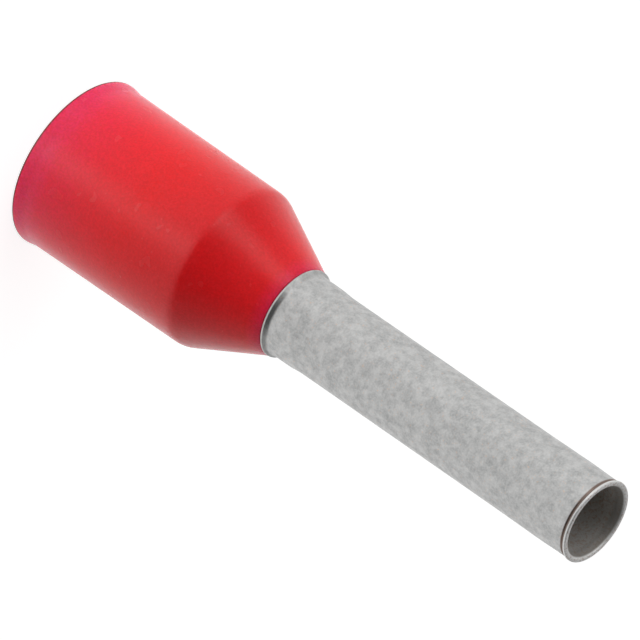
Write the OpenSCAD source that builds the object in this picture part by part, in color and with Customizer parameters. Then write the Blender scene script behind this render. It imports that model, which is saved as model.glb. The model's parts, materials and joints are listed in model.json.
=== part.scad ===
// Insulated wire-end ferrule.
//
// A thin tinned copper sleeve is held in a moulded insulating collar. Stranded
// wire enters at the collar's mouth, the funnel inside gathers its strands into
// the sleeve, and the bare pin is then crimped onto them.
//
// The ferrule stands on the collar's mouth. The origin is the centre of the
// mouth and +Z runs along the axis to the tip of the pin. Sizes are in mm.
//
// Both pieces are round, so each module revolves one closed outline. A point of
// an outline is [radius, height, rounding of that corner].

/* [Pin] */
// Length of the bare pin, from the collar's front face to the tip
pin_length = 8; // [6:0.5:18]
// Bore of the sleeve, which takes the bare strands
sleeve_bore_d = 1.46; // [1:0.02:2]
// Wall of the copper sleeve
sleeve_wall = 0.15; // [0.1:0.01:0.2]

/* [Pin tip] */
// Rise of the rolled lip over the outside of the sleeve
lip_rise = 0.026; // [0.01:0.002:0.06]
// Length of the rolled lip along the axis
lip_length = 0.05; // [0.04:0.005:0.1]
// How far the lip closes in again towards the tip
lip_relief = 0.006; // [0.002:0.001:0.01]
// Rounding of the lip's outer edge
lip_edge_r = 0.035; // [0.01:0.005:0.05]
// How far the bore flares out at the tip
flare_rise = 0.08; // [0.04:0.005:0.09]
// Length of the flare along the axis
flare_length = 0.11; // [0.06:0.01:0.2]
// Rounding of the flare's edge on the end of the tip
flare_edge_r = 0.06; // [0.01:0.005:0.06]
// Rounding between the bore and its flare
flare_bend_r = 0.15; // [0.05:0.01:0.3]
// Depth of the narrow groove that the rolling leaves behind the lip
groove_depth = 0.025; // [0.01:0.005:0.04]
// Width of the groove along the axis
groove_width = 0.085; // [0.05:0.005:0.15]
// Rounding of the groove
groove_r = 0.02; // [0.01:0.005:0.03]
// Slight swell of the sleeve that the rolling pushes up behind the groove
tip_swell_rise = 0.008; // [0.004:0.001:0.015]
// Distance from the groove to the crest of that swell
tip_swell_length = 0.6; // [0.45:0.05:1]

/* [Bead] */
// Rise of the bead that stops the collar from sliding forward
bead_rise = 0.095; // [0.04:0.005:0.12]
// Width of the bead's rim along the axis
bead_width = 0.035; // [0.03:0.005:0.1]
// Rounding of the bead's rim
bead_edge_r = 0.015; // [0.005:0.005:0.015]
// Length of the hollow flank from the rim down to the sleeve
bead_flank = 0.08; // [0.05:0.01:0.2]
// Radius of the hollow at the foot of the flank
bead_fillet_r = 0.09; // [0.03:0.01:0.15]
// Swell of the sleeve that the upset bead leaves beside it
swell_rise = 0.025; // [0.01:0.001:0.04]
// How far the swell sinks along its length
swell_fall = 0.003; // [0.001:0.001:0.005]
// Length of the swell, from the bead
swell_length = 0.6; // [0.4:0.05:1]
// Length of the taper from the swell to the plain sleeve
swell_taper = 0.25; // [0.2:0.05:0.6]

/* [Funnel] */
// Angle between the funnel's wall and the axis
funnel_angle = 45; // [30:1:55]
// Outside radius of the bend where the sleeve opens into the funnel
funnel_bend_r = 0.15; // [0.08:0.01:0.3]
// Radial gap between the funnel's rim and the collar's wire bore
funnel_gap = 0.16; // [0.1:0.02:0.3]
// Rounding of the funnel's rim
funnel_edge_r = 0.04; // [0.01:0.005:0.045]

/* [Collar] */
// Length of the collar, from its mouth to its front face
collar_length = 5.9; // [5:0.1:12]
// Bore of the collar, which takes the insulated wire
wire_bore_d = 3; // [2.8:0.1:4.5]
// Wall of the collar at the shoulder
collar_wall = 0.27; // [0.2:0.01:0.5]
// Moulding draft on the outside of the barrel, in degrees
draft_angle = 0.4; // [0:0.1:1]
// Length of the cone from the shoulder to the front face
cone_length = 1.7; // [1.4:0.01:2.2]
// Rounding of the shoulder between the barrel and the cone
shoulder_r = 0.5; // [0.2:0.1:1.5]
// Radial width of the collar's front face round the sleeve
front_wall = 0.08; // [0.05:0.005:0.2]
// Rounding of the front face's outer edge
front_edge_r = 0.02; // [0.01:0.005:0.03]
// Length over which the collar grips the sleeve behind its front face
grip_length = 1.35; // [1.1:0.05:2.2]
// Gap between the collar and the sleeve wherever they meet
seat_clearance = 0.01; // [0.005:0.005:0.05]

/* [Collar mouth] */
// Rise of the thin moulded lip round the outside of the mouth
rim_rise = 0.038; // [0.01:0.002:0.08]
// Length of the lip along the axis
rim_length = 0.09; // [0.06:0.01:0.2]
// Length of the slope from the lip down to the barrel
rim_slope = 0.12; // [0.05:0.01:0.3]
// Rounding of the lip
rim_edge_r = 0.04; // [0.02:0.005:0.05]
// Rounding that leads the wire into the mouth
lead_in_r = 0.18; // [0.05:0.01:0.2]

/* [Hidden] */

// Facets of a full turn, and the most degrees that one step of a rounding turns
$fn = 96;
arc_step = 12;
// Rounding that only eases a corner of a few degrees
soft_r = 1.5;
// Distances over which the swell at the tip rises and runs out
tip_swell_run = 1.2;
tip_swell_fall = 0.35;
// Most of a side that the rounding at one of its ends may take up
side_share = 0.48;

// Radii from the axis outwards
sleeve_bore_r = sleeve_bore_d / 2;
sleeve_r = sleeve_bore_r + sleeve_wall;
groove_floor_r = sleeve_r - groove_depth;
lip_r = sleeve_r + lip_rise;
tip_swell_r = sleeve_r + tip_swell_rise;
swell_r = sleeve_r + swell_rise;
bead_r = sleeve_r + bead_rise;
grip_r = sleeve_r + seat_clearance;
front_r = grip_r + front_wall;
wire_bore_r = wire_bore_d / 2;
funnel_r = wire_bore_r - funnel_gap;
barrel_front_r = wire_bore_r + collar_wall;

// Heights from the mouth up
shoulder_z = collar_length - cone_length;
barrel_rear_r = barrel_front_r + shoulder_z * tan(draft_angle);
seat_z = collar_length - grip_length;
bead_z = collar_length + seat_clearance;
tip_z = collar_length + pin_length;
lip_z = tip_z - lip_length;
groove_z = lip_z - groove_width;
tip_swell_z = groove_z - tip_swell_length;

// Unit vector, and the plain [radius, height] of an outline's point
function unit(v) = v / norm(v);
function place(p) = [p.x, p.y];

// Signed turn from angle a to angle b, between -180 and 180 degrees
function turn(a, b) = (b - a + 540) % 360 - 180;

// Points of the arc that rounds the corner b between the points a and c
function corner(a, b, c) =
    let (
        to_a = unit(place(a) - place(b)),
        to_c = unit(place(c) - place(b)),
        half = acos(to_a * to_c) / 2,
        shorter = min(norm(place(a) - place(b)), norm(place(c) - place(b))),
        reach = min(b.z / tan(half), side_share * shorter),
        radius = reach * tan(half),
        centre = place(b) + unit(to_a + to_c) * radius / sin(half),
        from = place(b) + to_a * reach - centre,
        to = place(b) + to_c * reach - centre,
        start = atan2(from.y, from.x),
        sweep = turn(start, atan2(to.y, to.x)),
        steps = ceil(abs(sweep) / arc_step)
    )
    [for (i = [0:steps])
        let (angle = start + sweep * i / steps)
        centre + radius * [cos(angle), sin(angle)]];

// Outline with each corner rounded by its own radius, where 0 leaves it sharp
function rounded(points) =
    let (n = len(points))
    [for (i = [0:n - 1])
        each points[i].z == 0
            ? [place(points[i])]
            : corner(points[(i + n - 1) % n], points[i], points[(i + 1) % n])];

// Round solid with the given outline
module revolved(points) {
    rotate_extrude()
        polygon(rounded(points));
}

// Height at which a surface offset by gap from the outside of the funnel has the radius r
function funnel_z(r, gap) =
    seat_z + gap * tan(funnel_angle / 2) - (r - sleeve_r - gap) / tan(funnel_angle);

// Moulded insulating collar: a thin barrel with a lipped mouth, a shoulder and a cone, and
// inside them the wire bore, the conical seat of the funnel and the bore that grips the sleeve
module collar() {
    color([0.84, 0.13, 0.18])
        revolved([
            [grip_r, collar_length, 0],
            [grip_r, funnel_z(grip_r, seat_clearance), funnel_bend_r - seat_clearance],
            [wire_bore_r, funnel_z(wire_bore_r, seat_clearance), collar_wall],
            [wire_bore_r, 0, lead_in_r],
            [barrel_rear_r + rim_rise, 0, rim_edge_r],
            [barrel_rear_r + rim_rise, rim_length, rim_edge_r],
            [barrel_rear_r, rim_length + rim_slope, rim_slope],
            [barrel_front_r, shoulder_z, shoulder_r],
            [front_r, collar_length, front_edge_r]
        ]);
}

// Drawn copper sleeve: a funnel seated inside the collar, a straight tube with one bore from
// end to end, the bead against the collar's front face with a swell beside it, and at the tip a
// flared and rolled lip behind which the rolling leaves a narrow groove
module sleeve() {
    rim_back = [cos(funnel_angle), sin(funnel_angle)] * sleeve_wall;
    color([0.74, 0.74, 0.73])
        revolved([
            [funnel_r, funnel_z(funnel_r, 0), funnel_edge_r],
            [sleeve_r, seat_z, funnel_bend_r],
            [sleeve_r, bead_z, 0],
            [bead_r, bead_z, bead_edge_r],
            [bead_r, bead_z + bead_width, bead_edge_r],
            [swell_r, bead_z + bead_width + bead_flank, bead_fillet_r],
            [swell_r - swell_fall, bead_z + swell_length, soft_r],
            [sleeve_r, bead_z + swell_length + swell_taper, soft_r],
            [sleeve_r, tip_swell_z - tip_swell_run, soft_r],
            [tip_swell_r, tip_swell_z, soft_r],
            [sleeve_r, tip_swell_z + tip_swell_fall, soft_r],
            [sleeve_r, groove_z, groove_r],
            [groove_floor_r, groove_z + groove_width / 2, groove_r],
            [lip_r, lip_z, groove_r],
            [lip_r - lip_relief, tip_z, lip_edge_r],
            [sleeve_bore_r + flare_rise, tip_z, flare_edge_r],
            [sleeve_bore_r, tip_z - flare_length, flare_bend_r],
            [sleeve_bore_r, seat_z - sleeve_wall * tan(funnel_angle / 2), funnel_bend_r + sleeve_wall],
            [funnel_r - rim_back.x, funnel_z(funnel_r, 0) - rim_back.y, funnel_edge_r]
        ]);
}

collar();
sleeve();
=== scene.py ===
"""Looks of the insulated wire ferrule: a red moulded collar and a tinned copper sleeve.

The ferrule stands on its collar's mouth at the origin, +Z towards the pin's tip. Outlines are
written in millimetres as (radius, height, rounding), and meshes are built in metres.
"""

import json
import math

import bpy
from mathutils import Matrix, Vector, noise


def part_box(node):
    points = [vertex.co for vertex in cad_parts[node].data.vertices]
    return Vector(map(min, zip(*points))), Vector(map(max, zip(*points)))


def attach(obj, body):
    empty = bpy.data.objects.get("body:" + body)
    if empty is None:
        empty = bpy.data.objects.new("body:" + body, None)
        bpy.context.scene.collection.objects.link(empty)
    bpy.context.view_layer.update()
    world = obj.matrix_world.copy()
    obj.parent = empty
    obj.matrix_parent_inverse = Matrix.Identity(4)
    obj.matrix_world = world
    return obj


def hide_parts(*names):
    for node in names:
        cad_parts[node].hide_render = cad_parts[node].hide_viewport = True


MM = 0.001

# ---------------------------------------------------------------- sizes from the frame

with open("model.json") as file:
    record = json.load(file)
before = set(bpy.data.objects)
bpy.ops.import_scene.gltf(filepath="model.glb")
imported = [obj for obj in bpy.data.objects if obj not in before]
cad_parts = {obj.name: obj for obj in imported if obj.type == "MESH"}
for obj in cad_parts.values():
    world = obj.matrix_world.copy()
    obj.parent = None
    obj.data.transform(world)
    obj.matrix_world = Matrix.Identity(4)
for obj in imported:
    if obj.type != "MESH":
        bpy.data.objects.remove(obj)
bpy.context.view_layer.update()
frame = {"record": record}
MOUNTS = {mount["name"]: mount for mount in frame["record"]["mounts"]}


def highest_corner(node):
    """Highest corner of a CAD node's box, in millimetres."""
    return Vector(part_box(node)[1]) / MM


COLLAR_HIGH = highest_corner("collar")
SLEEVE_HIGH = highest_corner("sleeve")
WIRE_BORE_R = MOUNTS["insulation_bore"]["dims"]["r_mm"]
SLEEVE_BORE_R = MOUNTS["conductor_bore"]["dims"]["r_mm"]
SLEEVE_R = MOUNTS["contact_pin"]["dims"]["r_mm"]
SLEEVE_WALL = SLEEVE_R - SLEEVE_BORE_R
FRONT_Z = COLLAR_HIGH.z
TIP_Z = SLEEVE_HIGH.z
RIM_R = COLLAR_HIGH.x

# ---------------------------------------------------------------- sizes of the details, mm

SEAT_CLEARANCE = 0.01
GRIP_LENGTH = 1.35
SEAT_Z = FRONT_Z - GRIP_LENGTH
FUNNEL_ANGLE = math.radians(45)
FUNNEL_BEND_R = 0.15
FUNNEL_GAP = 0.16
FUNNEL_EDGE_R = 0.04

COLLAR_WALL = 0.27
CONE_LENGTH = 1.7
SHOULDER_Z = FRONT_Z - CONE_LENGTH
SHOULDER_R = 0.5
FRONT_WALL = 0.08
FRONT_EDGE_R = 0.02
LEAD_IN_R = 0.18

RIM_RISE = 0.038
RIM_LENGTH = 0.05
RIM_SLOPE = 0.22
RIM_EDGE_R = 0.04
RIM_OFF_CENTRE = 0.022

BEAD_Z = FRONT_Z + SEAT_CLEARANCE
BEAD_RISE = 0.095
BEAD_WIDTH = 0.045
BEAD_EDGE_R = 0.015
BEAD_FLANK = 0.06
BEAD_FILLET_R = 0.09
SWELL_RISE = 0.025
SWELL_FALL = 0.003
SWELL_LENGTH = 0.6
SWELL_TAPER = 0.25

LIP_RISE = 0.026
LIP_LENGTH = 0.05
LIP_RELIEF = 0.006
LIP_EDGE_R = 0.035
LIP_Z = TIP_Z - LIP_LENGTH
FLARE_RISE = 0.08
FLARE_LENGTH = 0.11
FLARE_EDGE_R = 0.06
FLARE_BEND_R = 0.15
GROOVE_DEPTH = 0.025
GROOVE_WIDTH = 0.085
GROOVE_R = 0.02
GROOVE_Z = LIP_Z - GROOVE_WIDTH
TIP_SWELL_RISE = 0.008
TIP_SWELL_LENGTH = 0.6
TIP_SWELL_Z = GROOVE_Z - TIP_SWELL_LENGTH
TIP_SWELL_RUN = 1.2
TIP_SWELL_FALL = 0.35
# Rounding that only eases a corner of a few degrees
SOFT_R = 1.5

# Size and height of the relief's waves
SINK = (0.9, 0.006)
DENT = (0.8, 0.007)
SMALL_DENT = (0.3, 0.0025)
# Distances from the front face, the bead and the groove between which the relief fades
SINK_FADE = (0.3, 0.05)
BEAD_FADE = (0.2, 0.5)
GROOVE_FADE = 0.3
# Radial share of its normal from which a surface takes the whole relief
WHOLE_RELIEF = 0.5

# ---------------------------------------------------------------- fineness of the meshes

SEGMENTS = 192
ARC_STEP = math.radians(6)
LONGEST_COLLAR_EDGE = 0.12
LONGEST_SLEEVE_EDGE = 0.06
# Most of a side that the rounding at one of its ends may take up
SIDE_SHARE = 0.48

# ---------------------------------------------------------------- round outlines


def rounded(points):
    """Closed outline of (radius, height) with each corner of points rounded by its third value."""
    outline = []
    for i, (x, y, r) in enumerate(points):
        here = Vector((x, y))
        before = Vector(points[i - 1][:2])
        after = Vector(points[(i + 1) % len(points)][:2])
        if r == 0:
            outline.append(here)
            continue
        to_before, to_after = (before - here).normalized(), (after - here).normalized()
        half = to_before.angle(to_after) / 2
        shorter = min((before - here).length, (after - here).length)
        reach = min(r / math.tan(half), SIDE_SHARE * shorter)
        radius = reach * math.tan(half)
        centre = here + (to_before + to_after).normalized() * radius / math.sin(half)
        start = here + to_before * reach - centre
        end = here + to_after * reach - centre
        sweep = math.atan2(start.x * end.y - start.y * end.x, start.dot(end))
        steps = max(2, math.ceil(abs(sweep) / ARC_STEP))
        for k in range(steps + 1):
            outline.append(centre + Matrix.Rotation(sweep * k / steps, 2) @ start)
    return outline


def subdivided(outline, longest):
    """The outline with its long straight stretches cut into pieces no longer than longest."""
    result = []
    for i, here in enumerate(outline):
        after = outline[(i + 1) % len(outline)]
        pieces = max(1, math.ceil((after - here).length / longest))
        result += [here.lerp(after, k / pieces) for k in range(pieces)]
    return result


def funnel_z(r, gap):
    """Height at which a surface offset by gap from the outside of the funnel has the radius r."""
    bend_z = SEAT_Z + gap * math.tan(FUNNEL_ANGLE / 2)
    return bend_z - (r - SLEEVE_R - gap) / math.tan(FUNNEL_ANGLE)


def collar_outline():
    """The collar's half section: grip bore, funnel seat, wire bore, mouth, barrel and cone."""
    grip_r = SLEEVE_R + SEAT_CLEARANCE
    return rounded([
        (grip_r, FRONT_Z, 0),
        (grip_r, funnel_z(grip_r, SEAT_CLEARANCE), FUNNEL_BEND_R - SEAT_CLEARANCE),
        (WIRE_BORE_R, funnel_z(WIRE_BORE_R, SEAT_CLEARANCE), COLLAR_WALL),
        (WIRE_BORE_R, 0, LEAD_IN_R),
        (RIM_R, 0, RIM_EDGE_R),
        (RIM_R, RIM_LENGTH, RIM_EDGE_R),
        (RIM_R - RIM_RISE, RIM_LENGTH + RIM_SLOPE, RIM_SLOPE),
        (WIRE_BORE_R + COLLAR_WALL, SHOULDER_Z, SHOULDER_R),
        (grip_r + FRONT_WALL, FRONT_Z, FRONT_EDGE_R),
    ])


def sleeve_outline():
    """The sleeve's half section: funnel, tube, bead with its swell, groove, flared lip and bore."""
    bead_r = SLEEVE_R + BEAD_RISE
    bead_end = BEAD_Z + BEAD_WIDTH
    swell_r = SLEEVE_R + SWELL_RISE
    swell_end = BEAD_Z + SWELL_LENGTH
    lip_r = SLEEVE_R + LIP_RISE
    funnel_r = WIRE_BORE_R - FUNNEL_GAP
    funnel_end = funnel_z(funnel_r, 0)
    across = SLEEVE_WALL * math.cos(FUNNEL_ANGLE)
    along = SLEEVE_WALL * math.sin(FUNNEL_ANGLE)
    bore_end = SEAT_Z - SLEEVE_WALL * math.tan(FUNNEL_ANGLE / 2)
    return rounded([
        (funnel_r, funnel_end, FUNNEL_EDGE_R),
        (SLEEVE_R, SEAT_Z, FUNNEL_BEND_R),
        (SLEEVE_R, BEAD_Z, 0),
        (bead_r, BEAD_Z, BEAD_EDGE_R),
        (bead_r, bead_end, BEAD_EDGE_R),
        (swell_r, bead_end + BEAD_FLANK, BEAD_FILLET_R),
        (swell_r - SWELL_FALL, swell_end, SOFT_R),
        (SLEEVE_R, swell_end + SWELL_TAPER, SOFT_R),
        (SLEEVE_R, TIP_SWELL_Z - TIP_SWELL_RUN, SOFT_R),
        (SLEEVE_R + TIP_SWELL_RISE, TIP_SWELL_Z, SOFT_R),
        (SLEEVE_R, TIP_SWELL_Z + TIP_SWELL_FALL, SOFT_R),
        (SLEEVE_R, GROOVE_Z, GROOVE_R),
        (SLEEVE_R - GROOVE_DEPTH, GROOVE_Z + GROOVE_WIDTH / 2, GROOVE_R),
        (lip_r, LIP_Z, GROOVE_R),
        (lip_r - LIP_RELIEF, TIP_Z, LIP_EDGE_R),
        (SLEEVE_BORE_R + FLARE_RISE, TIP_Z, FLARE_EDGE_R),
        (SLEEVE_BORE_R, TIP_Z - FLARE_LENGTH, FLARE_BEND_R),
        (SLEEVE_BORE_R, bore_end, FUNNEL_BEND_R + SLEEVE_WALL),
        (funnel_r - across, funnel_end - along, FUNNEL_EDGE_R),
    ])


# ---------------------------------------------------------------- meshes


def revolve(name, outline, relief):
    """Closed mesh of an outline turned about Z.

    relief(point, inward) is how far a surface point moves away from the axis, in mm. inward is 1
    where the surface faces the axis, such as in a bore, and -1 where it faces away from it.
    """
    count = len(outline)
    verts, faces = [], []
    for k in range(SEGMENTS):
        turn = 2 * math.pi * k / SEGMENTS
        radial = Vector((math.cos(turn), math.sin(turn), 0))
        for i, here in enumerate(outline):
            along = outline[(i + 1) % count] - outline[i - 1]
            into = (radial * -along.y + Vector((0, 0, along.x))).normalized()
            point = radial * here.x + Vector((0, 0, here.y))
            verts.append((point + radial * relief(point, into.dot(radial))) * MM)
    for k in range(SEGMENTS):
        a, b = k * count, (k + 1) % SEGMENTS * count
        for i in range(count):
            j = (i + 1) % count
            faces.append((a + i, b + i, b + j, a + j))
    mesh = bpy.data.meshes.new(name)
    mesh.from_pydata(verts, [], faces)
    mesh.validate()
    mesh.shade_smooth()
    piece = bpy.data.objects.new(name, mesh)
    bpy.context.collection.objects.link(piece)
    return piece


def fade(value, start, end):
    """Smooth step from 0 at start to 1 at end."""
    share = min(max((value - start) / (end - start), 0), 1)
    return share * share * (3 - 2 * share)


def waves(point, size, height):
    """Gentle waves about size mm long and up to about height mm high."""
    return noise.noise(point / size) * height


def collar_relief(point, inward):
    """Faint sinks and an off-centre mouth, on the surfaces that face the axis.

    They were meant for the outside, which they leave exactly round.
    """
    lip = 1 - fade(point.z, RIM_LENGTH, RIM_LENGTH + RIM_SLOPE)
    plain = 1 - fade(point.z, FRONT_Z - SINK_FADE[0], FRONT_Z - SINK_FADE[1])
    shift = lip * RIM_OFF_CENTRE * point.x / RIM_R
    return fade(inward, 0, WHOLE_RELIEF) * (shift + plain * waves(point, *SINK))


def sleeve_relief(point, inward):
    """Faint dents in the bore, away from the bead and the lip.

    They were meant for the outside, which they leave exactly round.
    """
    past_bead = fade(point.z, BEAD_Z + BEAD_FADE[0], BEAD_Z + BEAD_FADE[1])
    plain = past_bead * (1 - fade(point.z, GROOVE_Z - GROOVE_FADE, GROOVE_Z))
    dents = waves(point, *DENT) + waves(point, *SMALL_DENT)
    return fade(inward, 0, WHOLE_RELIEF) * plain * dents


# ---------------------------------------------------------------- materials


def connect(tree, value, socket):
    """Link value to a socket where it is one itself, or set the socket to it."""
    if isinstance(value, bpy.types.NodeSocket):
        tree.links.new(value, socket)
    else:
        socket.default_value = value


def calculate(tree, operation, *values):
    """Socket of a Math node's result."""
    node = tree.nodes.new("ShaderNodeMath")
    node.operation = operation
    for value, socket in zip(values, node.inputs):
        connect(tree, value, socket)
    return node.outputs[0]


def vector(tree, operation, first, second=None, scale=None):
    """A Vector Math node."""
    node = tree.nodes.new("ShaderNodeVectorMath")
    node.operation = operation
    connect(tree, first, node.inputs[0])
    if second is not None:
        connect(tree, second, node.inputs[1])
    if scale is not None:
        node.inputs["Scale"].default_value = scale
    return node


class Finish:
    """A Principled material whose colour, roughness and relief are built up in millimetres."""

    def __init__(self, name):
        self.material = bpy.data.materials.new(name)
        self.material.use_nodes = True
        self.tree = self.material.node_tree
        self.shader = self.tree.nodes["Principled BSDF"]
        place = self.tree.nodes.new("ShaderNodeTexCoord").outputs["Object"]
        self.point = vector(self.tree, "SCALE", place, scale=1 / MM).outputs[0]
        flat = vector(self.tree, "MULTIPLY", self.point, (1, 1, 0)).outputs[0]
        self.radius = vector(self.tree, "LENGTH", flat).outputs["Value"]
        parts = self.tree.nodes.new("ShaderNodeSeparateXYZ")
        self.tree.links.new(self.point, parts.inputs[0])
        self.height = parts.outputs["Z"]

    def set(self, **values):
        for name, value in values.items():
            connect(self.tree, value, self.shader.inputs[name.replace("_", " ")])

    def step(self, value, start, end):
        """0 to 1 as value goes from start to end."""
        node = self.tree.nodes.new("ShaderNodeMapRange")
        node.interpolation_type = "SMOOTHSTEP"
        connect(self.tree, value, node.inputs["Value"])
        node.inputs["From Min"].default_value = start
        node.inputs["From Max"].default_value = end
        return node.outputs[0]

    def between(self, value, start, end, soft):
        """1 where value lies between start and end, with soft edges."""
        rise = self.step(value, start - soft, start + soft)
        fall = self.step(value, end + soft, end - soft)
        return calculate(self.tree, "MULTIPLY", rise, fall)

    def times(self, first, second):
        return calculate(self.tree, "MULTIPLY", first, second)

    def spread(self, share, low, high):
        """From low to high as share goes from 0 to 1."""
        return calculate(self.tree, "MULTIPLY_ADD", share, high - low, low)

    def mix_value(self, share, first, second):
        """From first to second as share goes from 0 to 1."""
        rest = calculate(self.tree, "SUBTRACT", 1.0, share)
        return calculate(self.tree, "MULTIPLY_ADD", share, second, self.times(rest, first))

    def noise(self, size, low=0.35, high=0.65, detail=2.0, seed=0.0):
        """Noise with features of about size mm, stretched so that low to high becomes 0 to 1."""
        node = self.tree.nodes.new("ShaderNodeTexNoise")
        node.noise_dimensions = "4D"
        self.tree.links.new(self.point, node.inputs["Vector"])
        node.inputs["W"].default_value = seed
        node.inputs["Scale"].default_value = 1 / size
        node.inputs["Detail"].default_value = detail
        return self.step(node.outputs[0], low, high)

    def mix(self, share, first, second):
        """Colour from first to second as share goes from 0 to 1."""
        node = self.tree.nodes.new("ShaderNodeMix")
        node.data_type = "RGBA"
        # Of a Mix node's sockets, these are the factor and the two colours
        for value, socket in zip((share, first, second), (0, 6, 7)):
            value = (*value, 1) if isinstance(value, tuple) else value
            connect(self.tree, value, node.inputs[socket])
        return node.outputs[2]

    def tint(self, colour, share, strength, other):
        """The colour with strength of the other one mixed in where share is 1."""
        return self.mix(self.times(share, strength), colour, other)

    def ramp(self, value, start, end, colours):
        """Colour that passes through the (place, colour) stops as value goes from start to end."""
        node = self.tree.nodes.new("ShaderNodeValToRGB")
        elements = node.color_ramp.elements
        while len(elements) < len(colours):
            elements.new(0.5)
        for element, (place, colour) in zip(elements, colours):
            element.position = (place - start) / (end - start)
            element.color = (*colour, 1)
        share = self.tree.nodes.new("ShaderNodeMapRange")
        connect(self.tree, value, share.inputs["Value"])
        share.inputs["From Min"].default_value = start
        share.inputs["From Max"].default_value = end
        self.tree.links.new(share.outputs[0], node.inputs[0])
        return node.outputs[0]

    def bump(self, height, depth, below=None):
        """Normal of a relief of depth mm, on top of the relief below."""
        node = self.tree.nodes.new("ShaderNodeBump")
        node.inputs["Distance"].default_value = depth * MM
        self.tree.links.new(height, node.inputs["Height"])
        if below is not None:
            self.tree.links.new(below, node.inputs["Normal"])
        return node.outputs[0]


# Colour of the plastic at heights from the mouth up, in mm. It holds painted light: a pink glow
# of light through the thin wall near the mouth and the front, and painted shade at the shoulder
PLASTIC_GLOW_AND_SHADE_STOPS = [
    (0.0, (0.98, 0.045, 0.22)),
    (0.7, (0.98, 0.018, 0.085)),
    (1.6, (0.97, 0.01, 0.033)),
    (2.6, (0.92, 0.006, 0.01)),
    (4.0, (0.77, 0.007, 0.01)),
    (4.6, (0.80, 0.01, 0.013)),
    (5.6, (0.93, 0.022, 0.028)),
    (5.9, (0.96, 0.035, 0.13)),
]
PLASTIC_CLOUD = (0.7, 0.01, 0.014)
PLASTIC_GRAIN = (1.0, 0.03, 0.04)
PLASTIC_PIT = (0.55, 0.003, 0.005)
PLASTIC_SPECK = (0.95, 0.2, 0.2)
PLASTIC_EDGE = (0.12, 0.03, 0.02)
PLASTIC_GRAIN_DEPTH = 0.0025
# Reach of red, green and blue light inside the plastic, and its scale in mm
LIGHT_REACH = (1, 0.1, 0.14)
LIGHT_REACH_SCALE = 0.15


def plastic_material():
    """Translucent red polypropylene, moulded grain; painted glow at the mouth and front, painted
    shade at the shoulder.
    """
    finish = Finish("collar_plastic")
    # Painted light: a pink glow near the mouth and the front, and painted shade around the shoulder
    colour = finish.ramp(finish.height, 0, FRONT_Z, PLASTIC_GLOW_AND_SHADE_STOPS)
    cloud = finish.noise(0.5, 0.2, 0.8, seed=1)
    colour = finish.tint(colour, cloud, 0.08, PLASTIC_CLOUD)
    grain = finish.noise(0.05, 0.2, 0.8, seed=2)
    colour = finish.tint(colour, grain, 0.5, PLASTIC_GRAIN)
    pit = finish.noise(0.045, 0.3, 0.7, seed=8)
    colour = finish.tint(colour, pit, 0.3, PLASTIC_PIT)
    speck = finish.noise(0.07, 0.68, 0.76, seed=3)
    colour = finish.tint(colour, speck, 0.15, PLASTIC_SPECK)
    low = finish.step(finish.height, 0.055, 0.03)
    edge = finish.times(low, finish.step(finish.radius, 1.78, 1.80))
    colour = finish.tint(colour, edge, 0.95, PLASTIC_EDGE)
    finish.set(
        Base_Color=colour,
        Roughness=finish.spread(cloud, 0.24, 0.28),
        Specular_IOR_Level=0.3,
        Subsurface_Weight=1.0,
        Subsurface_Radius=LIGHT_REACH,
        Subsurface_Scale=LIGHT_REACH_SCALE * MM,
        Normal=finish.bump(grain, PLASTIC_GRAIN_DEPTH),
    )
    return finish.material


TIN_DARK = (0.36, 0.365, 0.365)
TIN_PALE = (0.52, 0.52, 0.515)
TIN_GRAIN = (0.66, 0.66, 0.65)
# Painted highlight on the lip
PAINTED_LIP_HIGHLIGHT = (0.85, 0.85, 0.84)
COPPER_SPECK = (0.66, 0.48, 0.36)
END_TARNISH = (0.36, 0.22, 0.16)
# Copper brown darkened by painted shade, for the groove behind the lip
GROOVE_COPPER_AND_SHADE = (0.2, 0.13, 0.1)
BORE_COLOUR = (0.64, 0.63, 0.61)
BORE_TARNISH = (0.5, 0.34, 0.24)
# Painted shade inside the bore's flare at the tip
FLARE_PAINTED_SHADE = (0.2, 0.18, 0.16)
TIN_GRAIN_DEPTH = 0.0012
TIN_PATCH_DEPTH = 0.004


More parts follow.
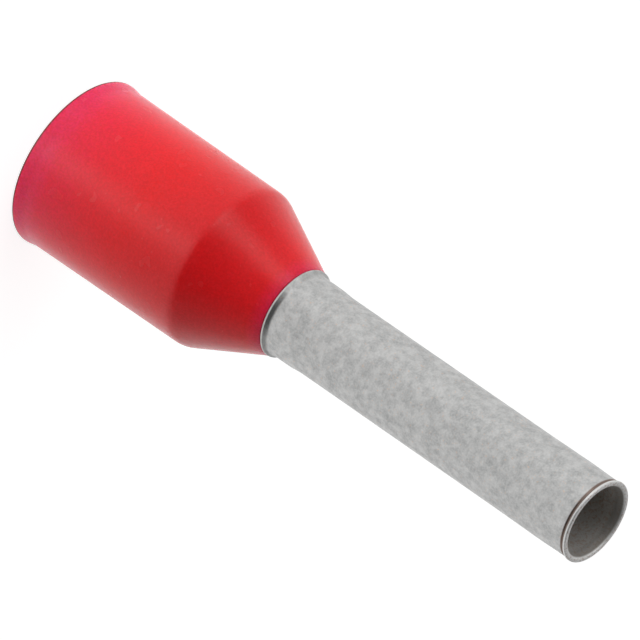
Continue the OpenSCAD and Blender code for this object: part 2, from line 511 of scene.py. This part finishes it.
def tin_material():
    """Matt tin, mottled, copper specks, tarnish in the bore; painted lip highlight; painted shade in
    the copper groove and the flare.
    """
    finish = Finish("tinned_copper")
    patches = finish.noise(0.15, 0.25, 0.75, detail=3, seed=4)
    grain = finish.noise(0.04, 0.25, 0.75, seed=5)
    colour = finish.mix(patches, TIN_DARK, TIN_PALE)
    colour = finish.tint(colour, grain, 0.45, TIN_GRAIN)
    speck = finish.noise(0.05, 0.62, 0.72, seed=6)
    colour = finish.tint(colour, speck, 0.6, COPPER_SPECK)

    # Painted highlight: the lip and the end face are lighter than the tube
    lip = finish.step(finish.height, LIP_Z - 0.01, LIP_Z + 0.01)
    colour = finish.tint(colour, lip, 0.7, PAINTED_LIP_HIGHLIGHT)
    end_face = finish.step(finish.height, TIP_Z - 0.02, TIP_Z - 0.005)
    tarnish = finish.noise(0.05, 0.5, 0.62, seed=7)
    colour = finish.tint(colour, finish.times(end_face, tarnish), 0.5, END_TARNISH)

    # The groove: copper showing through, darkened by painted shade
    groove = finish.between(finish.height, GROOVE_Z, LIP_Z - 0.008, 0.015)
    outside = finish.between(finish.radius, SLEEVE_R - 0.04, SLEEVE_R + 0.01, 0.008)
    colour = finish.tint(colour, finish.times(groove, outside), 0.85, GROOVE_COPPER_AND_SHADE)

    bore = finish.step(finish.radius, SLEEVE_BORE_R + 0.075, SLEEVE_BORE_R + 0.045)
    bore_tarnish_and_shade = finish.tint(BORE_COLOUR, tarnish, 0.4, BORE_TARNISH)
    # Painted shade: the bore darkens towards the flare at the tip, on top of its real tarnish
    flare = finish.step(finish.height, TIP_Z - 0.25, TIP_Z - 0.05)
    bore_tarnish_and_shade = finish.tint(bore_tarnish_and_shade, flare, 0.7, FLARE_PAINTED_SHADE)
    colour = finish.mix(bore, colour, bore_tarnish_and_shade)

    tube_roughness = finish.spread(patches, 0.50, 0.42)
    outside_roughness = finish.mix_value(lip, tube_roughness, 0.55)
    finish.set(
        Base_Color=colour,
        Metallic=1.0,
        Roughness=finish.mix_value(bore, outside_roughness, 0.75),
        Normal=finish.bump(grain, TIN_GRAIN_DEPTH, finish.bump(patches, TIN_PATCH_DEPTH)),
    )
    return finish.material


# ---------------------------------------------------------------- stage


# Half the floor's side in metres, its grey, and the glow that brings it to white
FLOOR_HALF = 0.6
FLOOR_GREY = 0.4
FLOOR_GLOW = 0.86


def make_floor():
    """Pale floor, white to the camera and in reflections, where it hides the lights below it.

    Diffuse and shadow rays pass through it. So it adds no diffuse light, and the world's lights
    below its level still reach the object.
    """
    half = FLOOR_HALF
    mesh = bpy.data.meshes.new("floor")
    corners = [(-half, -half, 0), (half, -half, 0), (half, half, 0), (-half, half, 0)]
    mesh.from_pydata(corners, [], [(0, 1, 2, 3)])
    floor = bpy.data.objects.new("floor", mesh)
    bpy.context.collection.objects.link(floor)
    material = bpy.data.materials.new("floor_white")
    material.use_nodes = True
    shader = material.node_tree.nodes["Principled BSDF"]
    shader.inputs["Base Color"].default_value = (FLOOR_GREY, FLOOR_GREY, FLOOR_GREY, 1)
    shader.inputs["Roughness"].default_value = 0.9
    shader.inputs["Emission Color"].default_value = (1, 1, 1, 1)
    tree = material.node_tree
    path = tree.nodes.new("ShaderNodeLightPath").outputs
    seen = calculate(tree, "MAXIMUM", path["Is Camera Ray"], path["Is Glossy Ray"])
    seen = calculate(tree, "MAXIMUM", seen, path["Is Transmission Ray"])
    glow = calculate(tree, "MULTIPLY", seen, FLOOR_GLOW)
    connect(tree, glow, shader.inputs["Emission Strength"])
    floor.data.materials.append(material)
    floor.visible_diffuse = floor.visible_shadow = False


def direction(azimuth, elevation):
    """Unit vector from the object: azimuth 0 is the camera's side, 90 is +X."""
    a, e = math.radians(azimuth), math.radians(elevation)
    return Vector((math.sin(a) * math.cos(e), -math.cos(a) * math.cos(e), math.sin(e)))


# A soft light is (azimuth, elevation, sharpness, strength). A negative strength darkens the tent.
TENT_LEVEL = 0.2
SOFT_LIGHTS = {
    "high_shade": (28, 60, 5, -0.7),
    "front_strip": (9, -24, 25, 3.8),
    "low_glow": (-40, -45, 18, 1.5),
    "side_spot": (-46, 5, 26, 3.1),
    "key": (-66, 52, 18, 2.2),
    "left_fill": (-97, -25, 22, 1.0),
    "right_fill": (92, -28, 18, 0.7),
    "left_rim": (-134, -20, 12, 0.95),
    "right_rim": (130, -22, 12, 1.0),
    "left_high": (-112, 20, 10, 0.4),
    "right_high": (100, 25, 10, 0.5),
    "back_fill": (200, 35, 4, 0.5),
    "mouth_glow": (0, -85, 10, 1.5),
}


def make_world():
    """A dim even tent with round soft lights, seven of them below the floor's level."""
    world = bpy.data.worlds.new("light_tent")
    bpy.context.scene.world = world
    world.use_nodes = True
    tree = world.node_tree
    towards = tree.nodes.new("ShaderNodeTexCoord").outputs["Generated"]
    level = TENT_LEVEL
    for azimuth, elevation, sharpness, strength in SOFT_LIGHTS.values():
        cosine = vector(tree, "DOT_PRODUCT", towards, direction(azimuth, elevation)).outputs["Value"]
        fall = calculate(tree, "MULTIPLY_ADD", cosine, sharpness, -sharpness)
        glow = calculate(tree, "EXPONENT", fall)
        level = calculate(tree, "MULTIPLY_ADD", glow, strength, level)
    level = calculate(tree, "MAXIMUM", level, 0.0)
    connect(tree, level, tree.nodes["Background"].inputs["Strength"])
    tree.nodes["Background"].inputs["Color"].default_value = (1, 1, 1, 1)


# Angles in degrees, distance and aim in millimetres of the object, lens in millimetres
CAMERA_ELEVATION = 28.47
CAMERA_ROLL = 124.69
CAMERA_DISTANCE = 236.54
CAMERA_LENS = 686.2
CAMERA_AIM = (-0.171, 0, 6.455)
SENSOR_WIDTH = 36
# Nearest and furthest that the camera sees, in metres
CLIP_START, CLIP_END = 0.01, 2


def make_camera():
    """Long-lens camera at the photograph's viewing angle, rolled as the photograph is."""
    data = bpy.data.cameras.new("camera")
    data.lens = CAMERA_LENS
    data.sensor_width = SENSOR_WIDTH
    data.clip_start, data.clip_end = CLIP_START, CLIP_END
    camera = bpy.data.objects.new("camera", data)
    bpy.context.collection.objects.link(camera)
    back = direction(0, CAMERA_ELEVATION)
    roll = math.radians(CAMERA_ROLL)
    level = Vector((1, 0, 0))
    upright = back.cross(level)
    right = level * math.cos(roll) + upright * math.sin(roll)
    up = upright * math.cos(roll) - level * math.sin(roll)
    turn = Matrix((right, up, back)).transposed().to_4x4()
    place = (Vector(CAMERA_AIM) + back * CAMERA_DISTANCE) * MM
    camera.matrix_world = Matrix.Translation(place) @ turn
    bpy.context.scene.camera = camera


# ---------------------------------------------------------------- the scene

collar_section = subdivided(collar_outline(), LONGEST_COLLAR_EDGE)
collar = revolve("moulded_collar", collar_section, collar_relief)
collar.data.materials.append(plastic_material())
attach(collar, "root")
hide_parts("collar")

sleeve_section = subdivided(sleeve_outline(), LONGEST_SLEEVE_EDGE)
sleeve = revolve("tinned_sleeve", sleeve_section, sleeve_relief)
sleeve.data.materials.append(tin_material())
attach(sleeve, "root")
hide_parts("sleeve")

make_floor()
make_world()
make_camera()
bpy.context.scene.view_settings.view_transform = "Standard"
